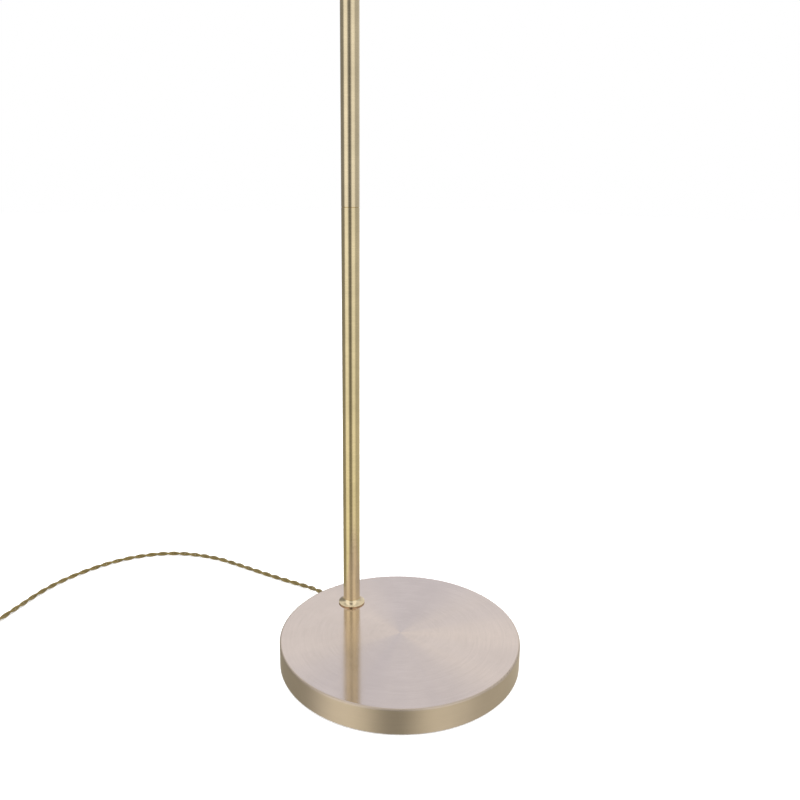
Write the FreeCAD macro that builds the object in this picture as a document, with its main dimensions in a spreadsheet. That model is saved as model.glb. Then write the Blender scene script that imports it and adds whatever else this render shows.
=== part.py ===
import FreeCAD, Part
import math
import os
from types import SimpleNamespace

import Sketcher

# A pharmacy floor lamp: a weighted round base, a two-section pole set back from the base's middle,
# a rod that slides in the pole under a thumbscrew, a swivelling neck, and a small dome shade that
# rolls and tilts at the neck's end. Millimetres. The origin is the middle of the base's underside,
# +Z is up and -Y is the front, where the shade reaches. The pole stands on the Y axis, behind.

DIMENSIONS = {
    # base
    "base_radius": 130.0,
    "base_height": 28.5,
    "cover_wall": 1.2,
    "cover_top": 1.5,
    "edge_round": 2.0,
    "pad_radius": 124.0,
    "pad_thick": 1.5,
    "plate_radius": 128.5,
    "plate_thick": 1.2,
    "weight_radius": 125.0,
    "weight_thick": 14.0,
    "boss_radius": 7.0,
    "boss_circle": 100.0,
    "plate_screw_radius": 2.0,
    "saddle_width": 22.0,
    "saddle_height": 9.0,
    "saddle_screw_radius": 1.5,
    "saddle_screw_aside": 8.0,
    "gland_hole_radius": 4.0,
    # pole
    "pole_back": 86.0,
    "pole_radius": 9.5,
    "tube_wall": 1.2,
    "section_length": 449.0,
    "tube_chamfer": 0.35,
    "collar_foot": 15.0,
    "collar_neck": 9.9,
    "collar_height": 6.7,
    "collar_lip": 1.4,
    "collar_tuck": 1.3,
    "collar_hollow": 18.6,
    "nipple_radius": 5.0,
    "nipple_bore": 3.2,
    "nipple_low": 7.6,
    "insert_length": 25.0,
    "nut_flats": 14.0,
    "nut_thick": 4.0,
    "washer_radius": 9.0,
    "washer_thick": 1.0,
    "stud_drop": 20.0,
    "stud_rise": 18.0,
    # height clamp and sliding rod
    "clamp_radius": 12.0,
    "clamp_height": 30.0,
    "clamp_spigot": 16.0,
    "clamp_crown": 5.0,
    "clamp_screw_height": 17.0,
    "shoe_radius": 2.55,
    "screw_radius": 2.5,
    "rod_radius": 6.0,
    "rod_wall": 1.0,
    "rod_low": 725.0,
    "rod_top": 1290.0,
    "slide_gap": 0.08,
    "thumb_radius": 8.0,
    # swivel, neck and fork
    "swivel_radius": 8.0,
    "swivel_height": 14.0,
    "plug_in_length": 15.0,
    "spigot_radius": 4.5,
    "spigot_length": 14.0,
    "friction_disc": 0.8,
    "neck_radius": 5.0,
    "neck_wall": 1.0,
    "neck_bend": 70.0,
    "neck_bend_low": 1345.0,
    "neck_reach": 86.0,
    "bush_radius": 6.8,
    "shank_radius": 3.4,
    "ear_thick": 3.0,
    "ear_radius": 6.5,
    "tongue_half": 4.0,
    "tongue_gap": 0.08,
    "bolt_radius": 2.5,
    "pivot_forward": 34.0,
    # head
    "head_forward": 32.0,
    "cap_radius": 20.0,
    "cap_wall": 1.2,
    "cap_low": -22.0,
    "cap_high": 17.0,
    "shade_neck": 22.0,
    "dome_radius": 64.0,
    "shade_wall": 1.0,
    "skirt_low": -117.0,
    "bead_radius": 1.6,
    "vent_circle": 34.0,
    "vent_radius": 2.5,
    "holder_radius": 14.0,
    "holder_length": 41.0,
    "bulb_radius": 22.5,
    "knob_radius": 9.0,
    "switch_radius": 9.0,
    "switch_thread": 5.0,
    "switch_stem": 3.0,
    "switch_nut_flats": 13.0,
    "lamp_neck_radius": 9.5,
    "lamp_cap_radius": 7.0,
    # flex
    "cord_width": 5.4,
    "cord_exit_height": 7.5,
    "cord_exit_degrees": 3.0,
    "gland_length": 22.0,
    "inner_flex_radius": 1.8,
    "slack_low": 505.0,
    "slack_swing": 5.0,
    # plug
    "plug_height": 13.9,
    "plug_grip_width": 26.0,
    "plug_nose_width": 34.0,
    "plug_corner": 1.8,
    "relief_length": 22.0,
    "grip_length": 24.0,
    "nose_length": 12.0,
    "pin_radius": 2.0,
    "pin_length": 19.0,
    "pin_aside": 9.2,
}

VENTS = 12
BOSS_DEGREES = (30.0, 150.0, 270.0)
TERMINAL_BACK = 58.0
SLACK_TURNS = 6
SLACK_STEPS = 10
JOIN_GAP = 0.5

# The free flex's route, from the strain relief to the storage coil, with the cord's middle resting
# half its width above the floor.
CORD_ROUTE = [
    (7.955, 151.79, 7.5),
    (8.9, 168.0, 5.9),
    (4.0, 196.0, 2.9),
    (-9.5, 231.0, 2.8),
    (-25.5, 281.0, 2.8),
    (-44.0, 338.0, 2.8),
    (-82.0, 388.0, 2.8),
    (-137.0, 412.0, 2.8),
    (-194.0, 411.0, 2.8),
    (-248.0, 396.0, 2.8),
    (-298.0, 364.0, 2.8),
]
COIL_CENTRE = (-368.0, 366.0)
COIL_TURNS_WIDE = 4
COIL_LAYERS = 2
COIL_MIDDLE_RADIUS = 30.0
COIL_PITCH = 5.6
# From the coil's last turn to the plug.
TAIL_ROUTE = [
    (-406.4, 372.0, 8.4),
    (-408.3, 384.0, 7.7),
    (-406.8, 397.0, 7.0),
]
PLUG_START = TAIL_ROUTE[-1]

doc = FreeCAD.newDocument("pharmacy_floor_lamp")
sheet = doc.addObject("Spreadsheet::Sheet", "dims")
for row, (name, value) in enumerate(DIMENSIONS.items(), 1):
    sheet.set(f"A{row}", name)
    sheet.set(f"B{row}", str(value))
    sheet.setAlias(f"B{row}", name)
doc.recompute()


class Size:
    """A length with its value and the spreadsheet expression that it comes from."""

    def __init__(self, value, text):
        self.value, self.text = float(value), text

    @staticmethod
    def of(other):
        return other if isinstance(other, Size) else Size(other, f"({float(other)!r})")

    def __add__(self, other):
        other = Size.of(other)
        return Size(self.value + other.value, f"({self.text} + {other.text})")

    def __sub__(self, other):
        other = Size.of(other)
        return Size(self.value - other.value, f"({self.text} - {other.text})")

    def __mul__(self, other):
        other = Size.of(other)
        return Size(self.value * other.value, f"({self.text} * {other.text})")

    def __radd__(self, other):
        return Size.of(other) + self

    def __rsub__(self, other):
        return Size.of(other) - self

    def __rmul__(self, other):
        return Size.of(other) * self

    def __neg__(self):
        return Size(-self.value, f"(-{self.text})")


D = SimpleNamespace(**{name: Size(value, f"dims.{name}") for name, value in DIMENSIONS.items()})
finished = []


def keep(obj, label):
    """Marks obj as the finished sub-part of that name."""
    obj.Label = label
    finished.append(obj)
    return obj


def bind(obj, **sizes):
    for name, size in sizes.items():
        obj.setExpression(name, Size.of(size).text)
    return obj


def place(obj, x=0.0, y=0.0, z=0.0, turn=None):
    """Puts obj at a point, turned by a rotation about that point."""
    rotation = turn or FreeCAD.Rotation()
    values = [Size.of(v) for v in (x, y, z)]
    obj.Placement = FreeCAD.Placement(FreeCAD.Vector(*[v.value for v in values]), rotation)
    for axis, value in zip("xyz", values):
        obj.setExpression(f"Placement.Base.{axis}", value.text)
    return obj


def facing(x, y, z):
    """The rotation that points a piece's own +Z along a direction."""
    return FreeCAD.Rotation(FreeCAD.Vector(0, 0, 1), FreeCAD.Vector(x, y, z))


FORWARD = facing(0, -1, 0)
BACKWARD = facing(0, 1, 0)
RIGHT = facing(1, 0, 0)
LEFT = facing(-1, 0, 0)

# The flex comes in through the rim along a line a few degrees to the side of straight back.
ENTRY = math.radians(DIMENSIONS["cord_exit_degrees"])
OUTWARD = facing(math.sin(ENTRY), math.cos(ENTRY), 0)
ASKEW = FreeCAD.Rotation(FreeCAD.Vector(0, 0, 1), -DIMENSIONS["cord_exit_degrees"])


def entry_point(along, aside=0.0):
    """The x and y of a point so far out along the flex's line and so far to its right."""
    along, aside = Size.of(along), Size.of(aside)
    x = along * math.sin(ENTRY) + aside * math.cos(ENTRY)
    return x, along * math.cos(ENTRY) - aside * math.sin(ENTRY)


def new_sketch(body, name, role):
    sketch = body.newObject("Sketcher::SketchObject", name)
    plane = next(f for f in body.Origin.OriginFeatures if f.Role == role)
    sketch.AttachmentSupport = [(plane, "")]
    sketch.MapMode = "FlatFace"
    return sketch


def pin_point(sketch, geometry, vertex, across, up):
    """Fixes a sketch vertex at (across, up) from the sketch's origin, by the spreadsheet."""
    for kind, size, own_axis in (("DistanceX", across, -2), ("DistanceY", up, -1)):
        size = Size.of(size)
        if abs(size.value) < 1e-9:
            sketch.addConstraint(Sketcher.Constraint("PointOnObject", geometry, vertex, own_axis))
        else:
            at = sketch.addConstraint(
                Sketcher.Constraint(kind, -1, 1, geometry, vertex, size.value)
            )
            sketch.setExpression(f"Constraints[{at}]", size.text)


def draw(sketch, outline, closed=True):
    """Draws an outline of (across, up) points. A point may add (centre across, centre up), and then
    an arc about that centre joins it to the point before it."""
    points = [tuple(Size.of(v) for v in p[:2]) for p in outline]
    count = len(points)
    spans = range(count if closed else count - 1)
    ends = []
    for i in spans:
        (x0, y0), (x1, y1) = points[i], points[(i + 1) % count]
        target = outline[(i + 1) % count]
        start, stop = FreeCAD.Vector(x0.value, y0.value), FreeCAD.Vector(x1.value, y1.value)
        if len(target) == 2:
            ends.append((sketch.addGeometry(Part.LineSegment(start, stop)), 1, 2))
            continue
        centre = [Size.of(v) for v in target[2]]
        middle = FreeCAD.Vector(centre[0].value, centre[1].value)
        first = math.atan2(start.y - middle.y, start.x - middle.x)
        last = math.atan2(stop.y - middle.y, stop.x - middle.x)
        turn = (last - first + math.pi) % (2 * math.pi) - math.pi
        circle = Part.Circle(middle, FreeCAD.Vector(0, 0, 1), (start - middle).Length)
        low, high = (first, first + turn) if turn > 0 else (last, last - turn)
        arc = sketch.addGeometry(Part.ArcOfCircle(circle, low, high))
        ends.append((arc, 1, 2) if turn > 0 else (arc, 2, 1))
        steep = abs(stop.y - start.y) >= abs(stop.x - start.x)
        kind, size, own_axis = ("DistanceX", centre[0], -2) if steep else ("DistanceY", centre[1], -1)
        if abs(size.value) < 1e-9:
            sketch.addConstraint(Sketcher.Constraint("PointOnObject", arc, 3, own_axis))
        else:
            at = sketch.addConstraint(Sketcher.Constraint(kind, -1, 1, arc, 3, size.value))
            sketch.setExpression(f"Constraints[{at}]", size.text)
    for i, (geometry, start, stop) in enumerate(ends):
        pin_point(sketch, geometry, start, *points[i])
        if i + 1 < len(ends) or closed:
            after = ends[(i + 1) % len(ends)]
            sketch.addConstraint(Sketcher.Constraint("Coincident", geometry, stop, after[0], after[1]))
    if not closed:
        pin_point(sketch, ends[-1][0], ends[-1][2], *points[-1])
    return sketch


def arc_middle(across, first, second):
    """How high an arc's centre is, when it is so far across and as far from both ends."""
    (x1, y1), (x2, y2) = first, second
    return ((across - x2) ** 2 - (across - x1) ** 2 + y2**2 - y1**2) / (2 * (y2 - y1))


def turned(label, outline, x=0.0, y=0.0, z=0.0, turn=None, final=True):
    """A lathe-turned piece: an outline of (radius, height) points, revolved about its own Z."""
    body = doc.addObject("PartDesign::Body", label if final else label + "_blank")
    sketch = draw(new_sketch(body, label + "_outline", "XZ_Plane"), outline)
    revolution = body.newObject("PartDesign::Revolution", label + "_turning")
    revolution.Profile = sketch
    revolution.ReferenceAxis = (sketch, ["V_Axis"])
    revolution.Angle = 360.0
    sketch.Visibility = False
    place(body, x, y, z, turn)
    return keep(body, label) if final else body


def ring(label, inner, outer, low, high, **where):
    """A plain tube or ring, or a disc where inner is 0."""
    return turned(label, [(inner, low), (outer, low), (outer, high), (inner, high)], **where)


def cylinder(radius, height, x=0.0, y=0.0, z=0.0, turn=None):
    obj = doc.addObject("Part::Cylinder", "cylinder")
    return place(bind(obj, Radius=radius, Height=height), x, y, z, turn)


def box(length, width, height, x, y, z, turn=None):
    obj = doc.addObject("Part::Box", "box")
    return place(bind(obj, Length=length, Width=width, Height=height), x, y, z, turn)


def hexagon(across_flats, height, x=0.0, y=0.0, z=0.0, turn=None):
    obj = doc.addObject("Part::Prism", "prism")
    obj.Polygon = 6
    return place(bind(obj, Circumradius=across_flats * (1 / math.sqrt(3)), Height=height), x, y, z, turn)


def fuse(*pieces):
    obj = doc.addObject("Part::MultiFuse", "fuse")
    obj.Shapes = list(pieces)
    obj.Refine = True
    return obj


def cut(base, *tools):
    obj = doc.addObject("Part::Cut", "cut")
    obj.Base = base
    obj.Tool = fuse(*tools) if len(tools) > 1 else tools[0]
    return obj


def drive_slot(width, length, depth, x, y, z):
    """A screwdriver slot, to be cut from a head whose face is at z + depth."""
    return box(length, width, depth, x - length * 0.5, y - width * 0.5, z)


def polar(radius, degrees):
    angle = math.radians(degrees)
    return Size.of(radius) * math.cos(angle), Size.of(radius) * math.sin(angle)


def weighted_base():
    plate_top = D.pad_thick + D.plate_thick
    weight_high = D.base_height - D.cover_top
    weight_low = weight_high - D.weight_thick
    inner = D.base_radius - D.cover_wall
    bosses = [polar(D.boss_circle, a) for a in BOSS_DEGREES]

    ring("floor_pad", 0.0, D.pad_radius, 0.0, D.pad_thick)

    rim, high, turn_in = D.base_radius, D.base_height, D.edge_round
    blank = turned(
        "base_cover",
        [
            (0.0, high),
            (rim - turn_in, high),
            (rim, high - turn_in, (rim - turn_in, high - turn_in)),
            (rim, D.pad_thick),
            (inner, D.pad_thick),
            (inner, high - D.cover_top),
            (0.0, high - D.cover_top),
        ],
        final=False,
    )
    nipple_hole = cylinder(D.nipple_radius, D.cover_top * 3, y=D.pole_back, z=high - D.cover_top * 2)
    level = D.cord_exit_height
    gland_place = entry_point(D.base_radius - 8.0)
    gland_hole = cylinder(D.gland_hole_radius, 12.0, *gland_place, level, OUTWARD)
    keep(cut(blank, nipple_hole, gland_hole), "base_cover")

    plate_holes = []
    for x, y in bosses:
        cone = doc.addObject("Part::Cone", "countersink")
        bind(cone, Radius1=D.plate_screw_radius + D.plate_thick, Radius2=D.plate_screw_radius)
        bind(cone, Height=D.plate_thick)
        plate_holes.append(place(cone, x, y, D.pad_thick))
    keep(cut(cylinder(D.plate_radius, D.plate_thick, z=D.pad_thick), *plate_holes), "bottom_plate")

    screws = []
    for x, y in bosses:
        cone = doc.addObject("Part::Cone", "screw_head")
        bind(cone, Radius1=D.plate_screw_radius + D.plate_thick, Radius2=D.plate_screw_radius)
        bind(cone, Height=D.plate_thick)
        head = place(cone, x, y, D.pad_thick)
        slot = drive_slot(Size.of(0.8), Size.of(4.4), Size.of(0.6), x, y, D.pad_thick)
        shank = cylinder(D.plate_screw_radius, 8.0, x, y, plate_top)
        screws.append(cut(fuse(head, shank), slot))
    keep(fuse(*screws), "plate_screws")

    body = cylinder(D.weight_radius, D.weight_thick, z=weight_low)
    feet = [cylinder(D.boss_radius, weight_low - plate_top, x, y, plate_top) for x, y in bosses]
    taps = [cylinder(D.plate_screw_radius, 9.0, x, y, plate_top) for x, y in bosses]
    through = weight_low - D.weight_thick * 0.5
    pole_hole = cylinder(D.nipple_radius, D.weight_thick * 2, y=D.pole_back, z=through)
    saddle_aside, clip_radius = D.saddle_screw_aside, D.saddle_screw_radius
    saddle_spots = [entry_point(106.0, aside) for aside in (-saddle_aside, saddle_aside)]
    clip_taps = [cylinder(clip_radius, 6.0, x, y, weight_low) for x, y in saddle_spots]
    keep(cut(fuse(body, *feet), *taps, pole_hole, *clip_taps), "base_weight")

    # a saddle that grips the flex where it comes in, and its two screws
    saddle_low = weight_low - D.saddle_height
    saddle_corner = entry_point(102.0, D.saddle_width * -0.5)
    saddle = box(D.saddle_width, 8.0, D.saddle_height, *saddle_corner, saddle_low, ASKEW)
    channel = cylinder(D.cord_width * 0.5, 40.0, *entry_point(90.0), level, OUTWARD)
    saddle_holes = [cylinder(clip_radius, 12.0, x, y, saddle_low - 1.0) for x, y in saddle_spots]
    keep(cut(saddle, channel, *saddle_holes), "flex_saddle")
    clips = [cylinder(clip_radius, 14.0, x, y, saddle_low) for x, y in saddle_spots]
    keep(fuse(*clips), "saddle_screws")

    # the two-way terminal block that joins the twisted flex to the thin inner flex
    keep(box(20.0, 13.0, 8.0, -5.0, TERMINAL_BACK - 13.0, plate_top), "terminal_block")

    turned(
        "flex_gland",
        [
            (D.cord_width * 0.5, -4.0),
            (4.6, -4.0),
            (4.6, -1.3),
            (D.gland_hole_radius, -1.3),
            (D.gland_hole_radius, 0.0),
            (5.2, 0.0),
            (5.2, 1.6),
            (4.3, 2.6),
            (3.3, D.gland_length),
            (D.cord_width * 0.5, D.gland_length),
        ],
        **dict(zip("xy", entry_point(D.base_radius))),
        z=level,
        turn=OUTWARD,
    )


def pole():
    y = D.pole_back
    high = D.base_height
    weight_low = high - D.cover_top - D.weight_thick
    bore, outside = D.pole_radius - D.tube_wall, D.pole_radius
    seam = high + D.section_length
    top = seam + D.section_length
    stud_end = seam + D.stud_rise

    ring("pole_nipple", D.nipple_bore, D.nipple_radius, D.nipple_low, high + 20.0, y=y)
    washer_low = weight_low - D.washer_thick
    ring("nipple_washer", D.nipple_radius, D.washer_radius, washer_low, weight_low, y=y)
    nut_low = washer_low - D.nut_thick
    nut = hexagon(D.nut_flats, D.nut_thick, y=y, z=nut_low)
    keep(cut(nut, cylinder(D.nipple_radius, D.nut_thick * 2, y=y, z=nut_low - 1.0)), "nipple_nut")
    # the collar flares to its foot in a shallow hollow curve, and tucks in below its lip
    lip = (D.collar_foot.value, D.collar_lip.value)
    brim = (D.collar_neck.value, D.collar_height.value)
    hollow = (D.collar_hollow, high + arc_middle(D.collar_hollow.value, lip, brim))
    turned(
        "pole_collar",
        [
            (outside, high),
            (D.collar_foot - D.collar_tuck, high),
            (D.collar_foot, high + D.collar_lip),
            (D.collar_neck, high + D.collar_height, hollow),
            (outside, high + D.collar_height),
        ],
        y=y,
    )
    ring("foot_insert", D.nipple_radius, bore, high, high + D.insert_length, y=y)
    for label, low, end in (("lower_tube", high, seam), ("upper_tube", seam, top)):
        edge = D.tube_chamfer
        turned(
            label,
            [
                (bore, low),
                (outside - edge, low),
                (outside, low + edge),
                (outside, end - edge),
                (outside - edge, end),
                (bore, end),
            ],
            y=y,
        )
    turned(
        "joint_stud",
        [
            (D.nipple_bore, seam - D.stud_drop),
            (bore, seam - D.stud_drop),
            (bore, seam),
            (D.nipple_radius, seam),
            (D.nipple_radius, stud_end),
            (D.nipple_bore, stud_end),
        ],
        y=y,
    )
    ring("joint_socket", D.nipple_radius, bore, seam, seam + D.insert_length, y=y)


def height_clamp():
    y = D.pole_back
    low = D.base_height + D.section_length * 2
    bore, outside, rod = D.pole_radius - D.tube_wall, D.clamp_radius, D.rod_radius + D.slide_gap
    axis = low + D.clamp_screw_height
    bush_top = low - D.clamp_spigot
    ring("guide_bush", rod, bore, bush_top - 20.0, bush_top, y=y)
    shoulder, crown = low + 25.0, D.clamp_crown
    crown_top = shoulder + crown * math.sin(math.radians(60))
    blank = turned(
        "height_clamp",
        [
            (rod, low - D.clamp_spigot),
            (bore, low - D.clamp_spigot),
            (bore, low),
            (outside - 1.2, low),
            (outside - 0.4, low + 0.8),
            (outside - 0.4, low + 4.0),
            (outside - 1.4, low + 5.0),
            (outside - 1.4, low + 6.4),
            (outside, low + 7.4),
            (outside, shoulder),
            (outside - crown * 0.5, crown_top, (outside - crown, shoulder)),
            (rod, crown_top),
        ],
        y=y,
        final=False,
    )
    screw_boss = cylinder(5.0, 8.0, x=8.0, y=y, z=axis, turn=RIGHT)
    rod_way = cylinder(rod, D.clamp_height * 2, y=y, z=low - 10.0)
    screw_way = cylinder(D.shoe_radius, 14.0, x=4.0, y=y, z=axis, turn=RIGHT)
    keep(cut(fuse(blank, screw_boss), rod_way, screw_way), "height_clamp")
    keep(cylinder(D.shoe_radius, 1.4, x=rod + 0.2, y=y, z=axis, turn=RIGHT), "clamp_shoe")
    turned(
        "height_screw",
        [
            (0.0, 7.8),
            (D.screw_radius, 7.8),
            (D.screw_radius, 16.08),
            (4.2, 16.08),
            (4.2, 18.4),
            (D.thumb_radius - 0.8, 18.4),
            (D.thumb_radius, 19.2),
            (D.thumb_radius, 25.6),
            (D.thumb_radius - 1.6, 27.2, (D.thumb_radius - 1.6, 25.6)),
            (0.0, 27.8),
        ],
        y=y,
        z=axis,
        turn=RIGHT,
    )


def sliding_rod():
    y = D.pole_back
    bore = D.rod_radius - D.rod_wall
    top = D.rod_top
    ring("inner_rod", bore, D.rod_radius, D.rod_low, top, y=y)
    stop_radius = D.pole_radius - D.tube_wall - D.slide_gap
    ring("rod_stop", D.rod_radius, stop_radius, D.rod_low, D.rod_low + 10.0, y=y)
    outside = D.swivel_radius
    shoulder = top + D.swivel_height
    turned(
        "swivel_base",
        [
            (D.inner_flex_radius, top - D.plug_in_length),
            (bore, top - D.plug_in_length),
            (bore, top),
            (D.rod_radius, top),
            (outside - 0.6, top + 0.6),
            (outside, top + 1.6),
            (outside, shoulder - 0.4),
            (outside - 0.4, shoulder),
            (D.spigot_radius, shoulder),
            (D.spigot_radius, shoulder + D.spigot_length),
            (D.inner_flex_radius, shoulder + D.spigot_length),
        ],
        y=y,
    )


def neck():
    y = D.pole_back
    shoulder = D.rod_top + D.swivel_height
    low = shoulder + D.friction_disc + D.slide_gap
    outside = D.swivel_radius
    seat = shoulder + D.spigot_length + 2.0
    top = seat + 12.0
    spigot_way = D.spigot_radius + D.slide_gap
    disc_top = shoulder + D.friction_disc
    ring("swivel_washer", D.spigot_radius, outside - 0.5, shoulder, disc_top, y=y)
    turned(
        "swivel_head",
        [
            (spigot_way, low),
            (outside - 0.4, low),
            (outside, low + 0.4),
            (outside, seat - 1.0),
            (D.neck_radius + 1.1, top - 0.5),
            (D.neck_radius + 0.6, top),
            (D.neck_radius, top),
            (D.neck_radius, seat),
            (D.inner_flex_radius, seat),
            (D.inner_flex_radius, seat - 1.5),
            (spigot_way, seat - 1.5),
        ],
        y=y,
    )
    height = D.neck_bend_low + D.neck_bend
    bend_y = y - D.neck_bend
    body = doc.addObject("PartDesign::Body", "neck_tube")
    path = draw(
        new_sketch(body, "neck_path", "YZ_Plane"),
        [
            (y, seat),
            (y, D.neck_bend_low),
            (bend_y, height, (bend_y, D.neck_bend_low)),
            (bend_y - D.neck_reach, height),
        ],
        closed=False,
    )
    ring_sketch = new_sketch(body, "neck_section", "XY_Plane")
    middle, upward = FreeCAD.Vector(0, y.value, 0), FreeCAD.Vector(0, 0, 1)
    for radius in (D.neck_radius, D.neck_radius - D.neck_wall):
        circle = ring_sketch.addGeometry(Part.Circle(middle, upward, radius.value))
        pin_point(ring_sketch, circle, 3, 0.0, y)
        rule = Sketcher.Constraint("Radius", circle, radius.value)
        size = ring_sketch.addConstraint(rule)
        ring_sketch.setExpression(f"Constraints[{size}]", radius.text)
    ring_sketch.setExpression("AttachmentOffset.Base.z", seat.text)
    pipe = body.newObject("PartDesign::AdditivePipe", "neck_sweep")
    pipe.Profile = ring_sketch
    pipe.Spine = (path, ["Edge1", "Edge2", "Edge3"])
    keep(body, "neck_tube")

    end = bend_y - D.neck_reach
    bush = D.bush_radius
    turned(
        "roll_bush",
        [
            (D.neck_radius, -10.0),
            (D.neck_radius + 0.8, -10.0),
            (bush, -8.6),
            (bush, 13.6),
            (bush - 0.4, 14.0),
            (D.shank_radius + D.slide_gap, 14.0),
            (D.shank_radius + D.slide_gap, 0.0),
            (D.neck_radius, 0.0),
        ],
        y=end,
        z=height,
        turn=FORWARD,
    )
    return end, height


def fork(end, height):
    face = end - 14.08
    pivot = end - D.pivot_forward
    ear_in = D.tongue_half + D.tongue_gap
    ear_out = ear_in + D.ear_thick
    shank = turned(
        "fork_shank",
        [
            (D.inner_flex_radius, -14.0),
            (D.shank_radius, -14.0),
            (D.shank_radius, 0.0),
            (D.bush_radius, 0.0),
            (ear_out + 0.2, 1.2),
            (ear_out + 0.2, 7.6),
            (D.inner_flex_radius, 7.6),
        ],
        y=face,
        z=height,
        turn=FORWARD,
        final=False,
    )
    ears, holes = [], []
    arm, tall = face - 7.0 - pivot, D.ear_radius * 2
    for x in (ear_in, -ear_out):
        ears.append(box(D.ear_thick, arm, tall, x, pivot, height - D.ear_radius))
        ears.append(cylinder(D.ear_radius, D.ear_thick, x, pivot, height, RIGHT))
        hole_start = x - D.ear_thick
        holes.append(cylinder(D.bolt_radius, D.ear_thick * 3, hole_start, pivot, height, RIGHT))
    keep(cut(fuse(shank, *ears), *holes), "tilt_fork")

    brim, crown = (4.6, 1.2), (0.0, 3.0)
    head = turned(
        "bolt_head",
        [
            (0.0, 0.0),
            (brim[0], 0.0),
            brim,
            (*crown, (0.0, arc_middle(0.0, brim, crown))),
        ],
        x=ear_out,
        y=pivot,
        z=height,
        turn=RIGHT,
        final=False,
    )
    shaft = cylinder(D.bolt_radius, ear_out * 2 + 9.0, -ear_out - 9.0, pivot, height, RIGHT)
    slot = box(1.2, 9.4, 0.9, ear_out + 2.2, pivot - 4.7, height - 0.45)
    keep(cut(fuse(head, shaft), slot), "pivot_bolt")
    turned(
        "tilt_knob",
        [
            (D.bolt_radius + D.slide_gap, 0.08),
            (4.4, 0.08),
            (4.4, 1.6),
            (6.7, 1.6),
            (7.4, 2.3),
            (7.4, 9.2),
            (6.0, 10.6, (6.0, 9.2)),
            (0.0, 11.0),
            (0.0, 9.4),
            (D.bolt_radius + D.slide_gap, 9.4),
        ],
        x=-ear_out,
        y=pivot,
        z=height,
        turn=LEFT,
    )
    return pivot


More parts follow.
